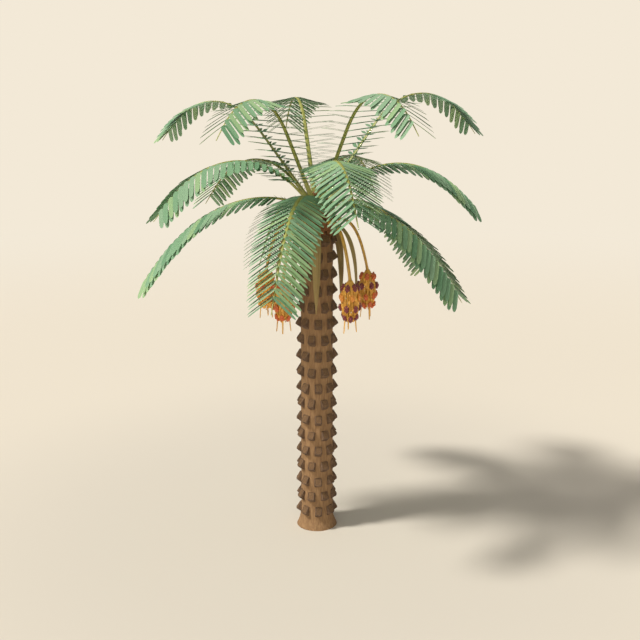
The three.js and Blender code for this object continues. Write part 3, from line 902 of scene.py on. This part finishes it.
# %% Model one flat sheath and bend five
SHEATH_ROUTE = [(0.22, 5.05), (0.45, 5.12), (0.74, 4.80), (0.64, 3.73)]
SHEATH_AZIMUTHS = [270, 342, 54, 126, 198]
SHEATH_WIDTH = 0.144
SHEATH_WALL = 7 * MM
bpy.ops.mesh.primitive_grid_add(x_subdivisions=36, y_subdivisions=10, size=1)
flat = open_new("flat_sheath")
bpy.ops.mesh.select_all(action="SELECT")
bpy.ops.transform.translate(value=(0.5, 0, 0))
close(flat)
shape = corners_of(flat)
share, edge = shape[:, 0], 2 * shape[:, 1]
taper = np.clip((share - 0.50) / 0.50, 0, 1)
outline = np.minimum(0.090 + 0.10 * share, SHEATH_WIDTH) * (1 - taper**2) ** 0.75 + 4 * MM
hollow = -0.30 * edge**2 + 0.16 * np.exp(-((edge / 0.22) ** 2))  # the edges curl in, and the keel stands out
sheath_shape = np.column_stack([share, shape[:, 1], hollow])
places = []
for azimuth in SHEATH_AZIMUTHS:
    path = hanging_path(azimuth + dice.normal(0, 0.8), SHEATH_ROUTE)
    curl = outline * dice.uniform(0.85, 1.15) * (1 + 0.12 * np.sin(9 * share + dice.uniform(0, 6)))
    places.append(lay_along(sheath_shape, path, left_of(azimuth), outline, curl * 0.5))
sheaths = join_copies("dry_flower_sheaths", flat, np.stack(places), [husk_finish])
only(sheaths)
wall = sheaths.modifiers.new("wall", "SOLIDIFY")
wall.thickness = SHEATH_WALL
wall.offset = -1
bpy.ops.object.modifier_apply(modifier="wall")
smooth(sheaths, 45)
put_away(flat)
hand_over(sheaths, "spathe", *[f"dry_spathe_{i + 1}" for i in range(len(SHEATH_AZIMUTHS))])

# %% [markdown]
# ## The fronds' ribs
# A frond's rib leaves the heart as a broad, flattened stalk, narrows quickly, and thins all the way to
# its tip. It is flatter above and round below, smooth, waxy and yellow-green. One straight rib is
# modelled along X, with its length as 1, and each frond lays a copy along its own curve: it climbs,
# bends over smoothly, and dives, by the same rule as the solid.

# %% Rib finish
def waxy_rib():
    """Living palm rib: a waxy, yellow-green rind, streaked along its length."""
    material, tree, shader = start_finish("waxy_frond_rib", "9a9c50", 0.45)
    streaks = grain(tree, (0.05, 0.16, 1.0), 3.0, "UV")  # 160 mm along the rib and 12 mm across
    stops = [(0.3, "7f8640"), (0.5, "9c9e50"), (0.7, "b5b264")]
    shade_by(tree, shader, streaks.outputs["Fac"], stops)
    emboss(tree, shader, streaks.outputs["Fac"], 2 * MM)
    shader.inputs["Coat Weight"].default_value = 0.1
    return material


rib_finish = waxy_rib()

# %% Three whorls of five fronds
START_RADIUS = 0.096
START_HEIGHT = 5.346
PETIOLE_SHARE = 0.16
LEAF_SHARE = 0.94
# Each frond is azimuth, rise and length. Its slope goes from its rise to the whorl's dive, in degrees,
# between the two shares of its length named bend. The lower whorl's bend starts before its ribs do,
# so its fronds leave the heart less steeply than their rise.
WHORLS = {
    "upper": {
        "inset": -0.016, "lift": 0.032, "dive": 52, "bend": (0.36, 0.98),
        "fronds": [(162, 52, 3.46), (234, 58, 3.15), (306, 59, 3.26), (18, 54, 3.62), (104, 59, 3.27)],
    },
    "middle": {
        "inset": 0.0, "lift": 0.0, "dive": 49, "bend": (0.0, 0.97),
        "fronds": [(210, 47, 3.08), (282, 49, 3.05), (354, 46, 2.88), (66, 47, 3.08), (138, 45, 3.02)],
    },
    "lower": {
        "inset": 0.016, "lift": -0.048, "dive": 55, "bend": (-0.8, 0.96),
        "fronds": [(186, 89, 3.25), (258, 104, 3.26), (330, 75, 2.87), (42, 74, 3.15), (114, 79, 3.10)],
    },
}


# %% A frond's curve
def smoothstep(value, low, high):
    """From 0 to 1 between low and high, level at both ends."""
    share = np.clip((value - low) / (high - low), 0, 1)
    return share * share * (3 - 2 * share)


class Rib:
    """The curve of one frond's rib, and the directions along, left of and above it at any share."""

    STEPS = 192

    def __init__(self, whorl, azimuth, rise, length):
        self.whorl, self.azimuth, self.rise = whorl, azimuth, rise
        self.left = left_of(azimuth)
        middles = (np.arange(self.STEPS) + 0.5) / self.STEPS
        pitch = self.pitch(middles)
        step = length / self.STEPS
        self.shares = np.linspace(0, 1, self.STEPS + 1)
        self.reach = START_RADIUS + whorl["inset"] + np.append(0, np.cumsum(np.cos(pitch))) * step
        self.height = START_HEIGHT + whorl["lift"] + np.append(0, np.cumsum(np.sin(pitch))) * step

    def pitch(self, share):
        """The slope at a share of the length, in radians, downwards below 0."""
        bent = smoothstep(share, *self.whorl["bend"])
        return np.radians(self.rise - (self.rise + self.whorl["dive"]) * bent)

    def point(self, share):
        reach = np.interp(share, self.shares, self.reach)
        return around(self.azimuth, reach, np.interp(share, self.shares, self.height))

    def along(self, share):
        return around(self.azimuth, np.cos(self.pitch(share)), np.sin(self.pitch(share)))

    def above(self, share):
        return around(self.azimuth, -np.sin(self.pitch(share)), np.cos(self.pitch(share)))


# %% The fifteen curves, and the names of their solids
ribs = {name: [Rib(whorl, *frond) for frond in whorl["fronds"]] for name, whorl in WHORLS.items()}
every_rib = [rib for whorl_ribs in ribs.values() for rib in whorl_ribs]
print("highest rib", round(max(rib.height.max() for rib in every_rib), 3), "m")


def frond_nodes(word):
    """The names of the fronds' solids that have this word in them."""
    return [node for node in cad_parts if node.startswith("frond_") and word in node]


# %% Model one straight rib
straight = straight_rod("straight_rib", 10, even_rings(64))
shape = corners_of(straight)
shape[:, 2] = np.where(shape[:, 2] > 0, shape[:, 2] * 0.7 + 0.15 * abs(shape[:, 1]), shape[:, 2])
move_corners(straight, shape)

# %% Lay five ribs a whorl
RIB_SHARES = [0, PETIOLE_SHARE, 0.5, 1]  # where its width and depth are given
RIB_WIDTHS = [0.098, 0.074, 0.060, 0.014]
RIB_DEPTHS = [0.044, 0.040, 0.032, 0.010]


def rib_size(share):
    """The rib's width and depth at a share of its length. Its base widens to clasp the heart."""
    clasp = 1 + 1.1 * np.clip(1 - share / 0.11, 0, 1) ** 2
    return np.interp(share, RIB_SHARES, RIB_WIDTHS) * clasp, np.interp(share, RIB_SHARES, RIB_DEPTHS)


for name, whorl_ribs in ribs.items():
    size = rib_size(shape[:, 0])
    places = np.stack([lay_along(shape, rib.point, rib.left, *size) for rib in whorl_ribs])
    piece = join_copies(f"ribs_{name}", straight, places, [rib_finish])
    smooth(piece, 50)
    hand_over(piece, "frond", *frond_nodes(f"_{name}_"))
put_away(straight)

# %% [markdown]
# ## Spines
# The lowest leaflets of a date palm are hardened into long spines that guard the heart. One is a thin,
# slightly curved cone, and a handful stand on each side of every frond's bare stalk.

# %% Model one spine and set them
SPINES = 5  # on each side of a frond's stalk
SPINE_WIDTH = 11 * MM
spine = straight_rod("spine", 5, [(0, 1, 1), (0.3, 0.8, 0.8), (0.7, 0.45, 0.45), (1.0, 0.06, 0.06)])
shape = corners_of(spine)
places = []
for rib in every_rib:
    share = np.tile(np.linspace(0.075, 0.150, SPINES), 2) + dice.normal(0, 0.003, 2 * SPINES)
    hand = np.repeat([1, -1], SPINES)
    heading = unit(rib.left * hand[:, None] * 0.75 + rib.along(share) * 0.62 + rib.above(share) * 0.25)
    upper = unit(rib.above(share) - heading * np.sum(heading * rib.above(share), axis=1)[:, None])
    across = np.cross(upper, heading)
    length = np.tile(np.linspace(0.06, 0.12, SPINES), 2) * dice.uniform(0.85, 1.15, 2 * SPINES)
    root = rib.point(share) + rib.left * (hand * rib_size(share)[0] * 0.4)[:, None]
    x = shape[:, 0] * length[:, None]
    y = np.broadcast_to(shape[:, 1] * SPINE_WIDTH, x.shape)
    z = shape[:, 2] * SPINE_WIDTH + 0.10 * shape[:, 0] ** 2 * length[:, None]
    places.append(set_out(root, (heading, across, upper), (x, y, z)))
spines = join_copies("petiole_spines", spine, np.concatenate(places), [rib_finish])
put_away(spine)
hand_over(spines, "frond", *frond_nodes("_inner"))

# %% [markdown]
# ## The leaflets
# Two rows of long, stiff, grey-green leaflets stand along every rib. Each is folded along its middle
# like a shallow gutter and drawn in to a blunt point. They grow in twos that lie side by side, and
# each two overlap the next like shingles. One is modelled with a few dozen faces, and thousands of
# numbers, worked out at once, say where each copy starts, points and how far it reaches.

# %% Leaflet finishes, dealt out by spray
LEAF_COLOURS = {"young": "95b381", "open": "7ca27b", "shaded": "6b946e", "frosted": "8aaa86"}
LEAF_SHARES = [0.22, 0.38, 0.18, 0.22]  # how much of the crown has each colour


def leaflet_finish(name, hex_colour):
    """Palm leaflet: a stiff, faintly waxy blade with fine veins along it, one plain green each."""
    material, tree, shader = start_finish(f"{name}_leaflet_blade", hex_colour, 0.55)
    veins = grain(tree, (0.9, 0.06, 1.0), 2.0, "UV")  # real veins are 1 mm apart, drawn at 4 mm
    emboss(tree, shader, veins.outputs["Fac"], 0.2 * MM, 0.1)
    shader.inputs["Specular IOR Level"].default_value = 0.35
    return material


leaf_finishes = [leaflet_finish(*colour) for colour in LEAF_COLOURS.items()]

# %% Model one leaflet
BLADE = [  # place along the blade, then width and thickness as shares of the greatest
    (0.00, 0.62, 1.0),
    (0.06, 0.90, 1.0),
    (0.20, 1.00, 0.9),
    (0.42, 1.00, 0.8),
    (0.66, 0.98, 0.7),
    (0.85, 0.90, 0.6),
    (0.95, 0.62, 0.5),
    (1.00, 0.10, 0.4),
]
leaflet = straight_rod("leaflet", 4, BLADE)
print("a leaflet has", len(leaflet.data.polygons), "faces")

# %% The leaflets' rule, as the solid has it
LEAFLET_LENGTH = 0.56
LEAFLET_WIDTH = 0.074
LEAFLET_THICKNESS = 0.004
SHORTEST = 0.38  # least share of the full length
NARROWEST = 0.7  # least share of the full width
SWELL_FROM, SWELL_TO = 0.15, 0.80  # the stretch of a half wave that the blades' size follows
LEAN_AT_BASE = 0.5  # how far a leaflet leans along the rib for each unit that it reaches aside
LEAN_GAIN = 0.05  # and how much more at the tip
LEAFLET_SAG = 0.32  # how far it falls
FOLD = 0.07  # how steeply each half of the blade rises from its middle
GROUPS = 22  # twos of blades on each side of a rib
TWIN_STEP = 0.51  # how far each twin lies from their common middle, as a share of its width
SHORTER = (1, 0.8, 0.62, 0.48)  # the lengths tried where something is in the way


def leaflet_axes(rib, share, hand, splay, lift, tilt):
    """Leaflets' three directions, along the blade, across it and to its upper side, and their fullness."""
    along = (share - PETIOLE_SHARE) / (LEAF_SHARE - PETIOLE_SHARE)
    lean = LEAN_AT_BASE + LEAN_GAIN * along**2
    heading = rib.left * hand[:, None] + rib.along(share) * (lean + splay)[:, None]
    heading[:, 2] += lift - LEAFLET_SAG
    heading = unit(heading)
    sky = np.array([0, 0, 1.0])  # the blade's upper face turns as far to the sky as its heading allows
    upper = unit(sky - heading * heading[:, 2:] + np.cross(heading, sky) * (hand * tilt)[:, None])
    across = np.cross(upper, heading)
    fullness = np.sin(np.pi * (SWELL_FROM + (SWELL_TO - SWELL_FROM) * along))
    return heading, across, upper, fullness


# %% What leaflets may not touch
STALK_ROOM = 0.035  # metres kept clear round each curve or axis
SHEATH_ROOM = 0.07
BUNCH_ROOM = 0.17
RIB_ROOM = 0.026
TRUNK_ROOM = 0.36
HEART_ROOM = 0.31


def balls_at(centres, radius):
    """Balls of one radius: their centres and radii, a row each."""
    return np.column_stack([centres, np.full(len(centres), radius)])


ticks = np.linspace(0, 1, 30)
bunch_heights = BUNCH_TOP + np.linspace(-0.58, -0.10, 6)
obstacles = np.concatenate(
    [balls_at(hanging_path(azimuth, STALK_ROUTE)(ticks), STALK_ROOM) for azimuth, _ in BUNCHES]
    + [balls_at(around(azimuth, BUNCH_DISTANCE, bunch_heights), BUNCH_ROOM) for azimuth, _ in BUNCHES]
    + [balls_at(hanging_path(azimuth, SHEATH_ROUTE)(ticks), SHEATH_ROOM) for azimuth in SHEATH_AZIMUTHS]
)
print(len(obstacles), "balls stand for stalks, sheaths and bunches")


def blocked(samples, other_ribs):
    """For each leaflet, whether one of its samples is in the trunk, the heart or a ball."""
    flat = samples.reshape(-1, 3)
    radius = np.hypot(flat[:, 0], flat[:, 1])
    hit = (radius < TRUNK_ROOM) & (flat[:, 2] < HEART_SEAT)
    hit |= (radius < HEART_ROOM) & (flat[:, 2] < HEART_SEAT + HEART_TOP)
    balls = np.concatenate([obstacles, other_ribs])
    for part in np.array_split(balls, 3):  # in parts, to save memory
        gap = np.linalg.norm(flat[:, None, :] - part[None, :, :3], axis=2) - part[None, :, 3]
        hit |= (gap < 0).any(axis=1)
    return hit.reshape(samples.shape[:2]).any(axis=1)


def free_share(root, heading, length, others):
    """For each leaflet the greatest of the shares in SHORTER at which it is clear, or 0 for none."""
    size = np.zeros(len(root))
    steps = np.linspace(0.12, 1, 8)[None, :, None]
    for shorter in SHORTER:
        samples = root[:, None, :] + heading[:, None, :] * steps * (length * shorter)[:, None, None]
        free = ~blocked(samples, others)
        size = np.where((size == 0) & free, shorter, size)
    return size


# %% Lay the leaflets of one frond
def bend_blades(length, broad, aside):
    """Each blade's corners before it is set out: how far along, across and above it they lie."""
    shape = corners_of(leaflet)
    arch = 0.04 * shape[:, 0] * (1 - shape[:, 0])  # it springs up a little and then sags back
    x = length[:, None] * shape[:, 0]
    y = broad[:, None] * shape[:, 1]
    z = LEAFLET_THICKNESS * shape[:, 2] + FOLD * abs(y) + length[:, None] * arch
    # The twins start close together and then run side by side.
    beside = np.clip(shape[:, 0] / 0.12, 0.04, 1) ** 0.5
    return x, y + aside[:, None] * beside, z


def frond_leaflets(rib, others):
    """Every leaflet of a frond: its corners' places and the finish that its spray was dealt."""
    group = np.tile(np.repeat(np.arange(GROUPS), 2), 2)
    twin = np.tile([-1, 1], GROUPS * 2)
    pitch = (LEAF_SHARE - PETIOLE_SHARE) / GROUPS
    share = PETIOLE_SHARE + (group + 0.5 + 0.05 * twin) * pitch
    hand = np.repeat([1, -1], GROUPS * 2)
    count = len(share)
    splay = 0.012 * twin + np.repeat(dice.normal(0, 0.018, count // 2), 2)
    lift = np.repeat(dice.normal(0, 0.014, count // 2), 2) + dice.normal(0, 0.006, count)
    tilt = np.repeat(dice.normal(0.09, 0.02, count // 2), 2)  # so twos overlap like shingles
    heading, across, upper, fullness = leaflet_axes(rib, share, hand, splay, lift, tilt)
    forward = np.sign(np.sum(across * rib.along(share), axis=1))  # whether across points on along the rib
    width, depth = rib_size(share)
    # They start inside the rib, near its edge and a little above its middle.
    root = rib.point(share) + rib.left * (hand * width * 0.34)[:, None]
    root = root + rib.above(share) * (depth * 0.1)[:, None]
    length = LEAFLET_LENGTH * (SHORTEST + (1 - SHORTEST) * fullness) * dice.uniform(0.95, 1.01, count)
    broad = LEAFLET_WIDTH * (NARROWEST + (1 - NARROWEST) * fullness) * dice.uniform(0.95, 1.03, count)
    size = free_share(root, heading, length, others)
    dealt = np.repeat(dice.choice(len(leaf_finishes), GROUPS * 2, p=LEAF_SHARES), 2)
    blades = bend_blades(length * size, broad, forward * twin * broad * TWIN_STEP)
    places = set_out(root, (heading, across, upper), blades)
    kept = size > 0
    return places[kept], dealt[kept]


# %% Grow the leaflets, whorl by whorl
rib_balls = [balls_at(rib.point(np.linspace(0.05, 1, 60)), RIB_ROOM) for rib in every_rib]
for name, whorl_ribs in ribs.items():
    grown = []
    for rib in whorl_ribs:
        others = [balls for other, balls in zip(every_rib, rib_balls) if other is not rib]
        grown.append(frond_leaflets(rib, np.concatenate(others)))
    places, dealt = [np.concatenate(part) for part in zip(*grown)]
    piece = join_copies(f"leaflets_{name}", leaflet, places, leaf_finishes, dealt)
    hand_over(piece, "frond", *frond_nodes(f"_{name}_"))
put_away(leaflet)

# %% [markdown]
# ## Floor, light and camera
# The palm stands on a pale floor inside a large pale dome, so that no edge of the room shows.
# The floor's colour is painted darker near the palm and paler outward: a painted falloff of light.
# One soft sun comes from the left and slightly from the front, at a height that casts the crown's
# shadow beside the trunk. A weaker one from the front, so wide that its shadows have no edge, and an
# even sky fill the shade.

# %% Floor and dome finishes
PAPER = "f3e9d7"
FLOOR_PAPER = "d5cdbf"
# The far floor colour is painted paler than the near one: a painted falloff of light, not a change in the
# paper.
FLOOR_PAPER_PAINTED_LIT = "dfd6c6"
FLOOR_RADIUS = 58.0
DOME_RADIUS = 60.0
# Painted falloff of light: over these distances the floor's colour is painted from darker to paler.
PAINTED_LIGHT_FALLOFF = (3.0, 9.0)  # metres from the palm over which the floor gets paler
FADE = (12.0, 40.0)  # and over which it turns into the dome's glow


def rises_over(tree, distance, limits):
    """From 0 to 1, smoothly, while a distance goes from the first limit to the second."""
    inputs = {"Value": distance, "From Min": limits[0], "From Max": limits[1]}
    return add_node(tree, "ShaderNodeMapRange", inputs, interpolation_type="SMOOTHSTEP").outputs["Result"]


def stage_finishes():
    """Matte cream floor that fades into the dome, and the dome's own even glow.

    The floor's colour is painted darker near the palm and paler outward, a painted falloff of light.
    """
    glow, tree, shader = start_finish("backdrop_paper", PAPER, 1.0)
    light = add_node(tree, "ShaderNodeEmission", {"Color": linear(PAPER)})
    tree.links.new(light.outputs["Emission"], tree.nodes["Material Output"].inputs["Surface"])
    tree.nodes.remove(shader)
    floor, tree, shader = start_finish("studio_floor_paper", FLOOR_PAPER, 1.0)
    shader.inputs["Specular IOR Level"].default_value = 0.0
    where = add_node(tree, "ShaderNodeTexCoord").outputs["Object"]
    distance = add_node(tree, "ShaderNodeVectorMath", {0: where}, operation="LENGTH").outputs["Value"]
    # Painted falloff of light: the floor's colour runs from darker near the palm to paler farther out.
    shade_by(tree, shader, rises_over(tree, distance, PAINTED_LIGHT_FALLOFF), [(0.0, FLOOR_PAPER), (1.0, FLOOR_PAPER_PAINTED_LIT)])
    light = add_node(tree, "ShaderNodeEmission", {"Color": linear(PAPER)}).outputs["Emission"]
    both = {"Fac": rises_over(tree, distance, FADE), 1: shader.outputs["BSDF"], 2: light}
    mixed = add_node(tree, "ShaderNodeMixShader", both)
    tree.links.new(mixed.outputs["Shader"], tree.nodes["Material Output"].inputs["Surface"])
    return glow, floor


# %% Lay the floor and close the dome
glow_finish, floor_finish = stage_finishes()
bpy.ops.mesh.primitive_circle_add(vertices=96, radius=FLOOR_RADIUS, fill_type="NGON")
floor = bpy.context.object
floor.name = "studio_floor"
floor.data.materials.append(floor_finish)
bpy.ops.mesh.primitive_uv_sphere_add(segments=48, ring_count=24, radius=DOME_RADIUS)
dome = bpy.context.object
dome.name = "studio_dome"
dome.data.materials.append(glow_finish)
for ray in ("diffuse", "glossy", "transmission", "shadow"):
    setattr(dome, f"visible_{ray}", False)

# %% Light
def hang_sun(azimuth, height, strength, width, colour):
    """A sun that stands at this azimuth and height, and looks this wide, all in degrees."""
    bpy.ops.object.light_add(type="SUN")
    sun = bpy.context.object
    sun.data.energy = strength
    sun.data.angle = math.radians(width)
    sun.data.color = colour
    towards = Vector(around(azimuth, math.cos(math.radians(height)), math.sin(math.radians(height))))
    sun.rotation_euler = towards.to_track_quat("Z", "Y").to_euler()


hang_sun(197, 50, 3.2, 9, (1.0, 0.975, 0.93))
hang_sun(262, 9.09, 1.2, 70, (1.0, 0.96, 0.90))
world = bpy.context.scene.world or bpy.data.worlds.new("sky")
bpy.context.scene.world = world
world.use_nodes = True
world.node_tree.nodes["Background"].inputs["Color"].default_value = (1.0, 0.975, 0.94, 1.0)
world.node_tree.nodes["Background"].inputs["Strength"].default_value = 0.32
bpy.context.scene.view_settings.view_transform = "Standard"

# %% Camera
TARGET = Vector((0.051, 0.0, 3.506))
DISTANCE = 14.224
LOOK_DOWN = math.radians(13.0)
bpy.ops.object.camera_add()
camera = bpy.context.object
camera.location = TARGET + DISTANCE * Vector((0, -math.cos(LOOK_DOWN), math.sin(LOOK_DOWN)))
camera.rotation_euler = (math.pi / 2 - LOOK_DOWN, 0, 0)
camera.data.lens = 50
camera.data.sensor_width = 36
camera.data.clip_end = 200
bpy.context.scene.camera = camera
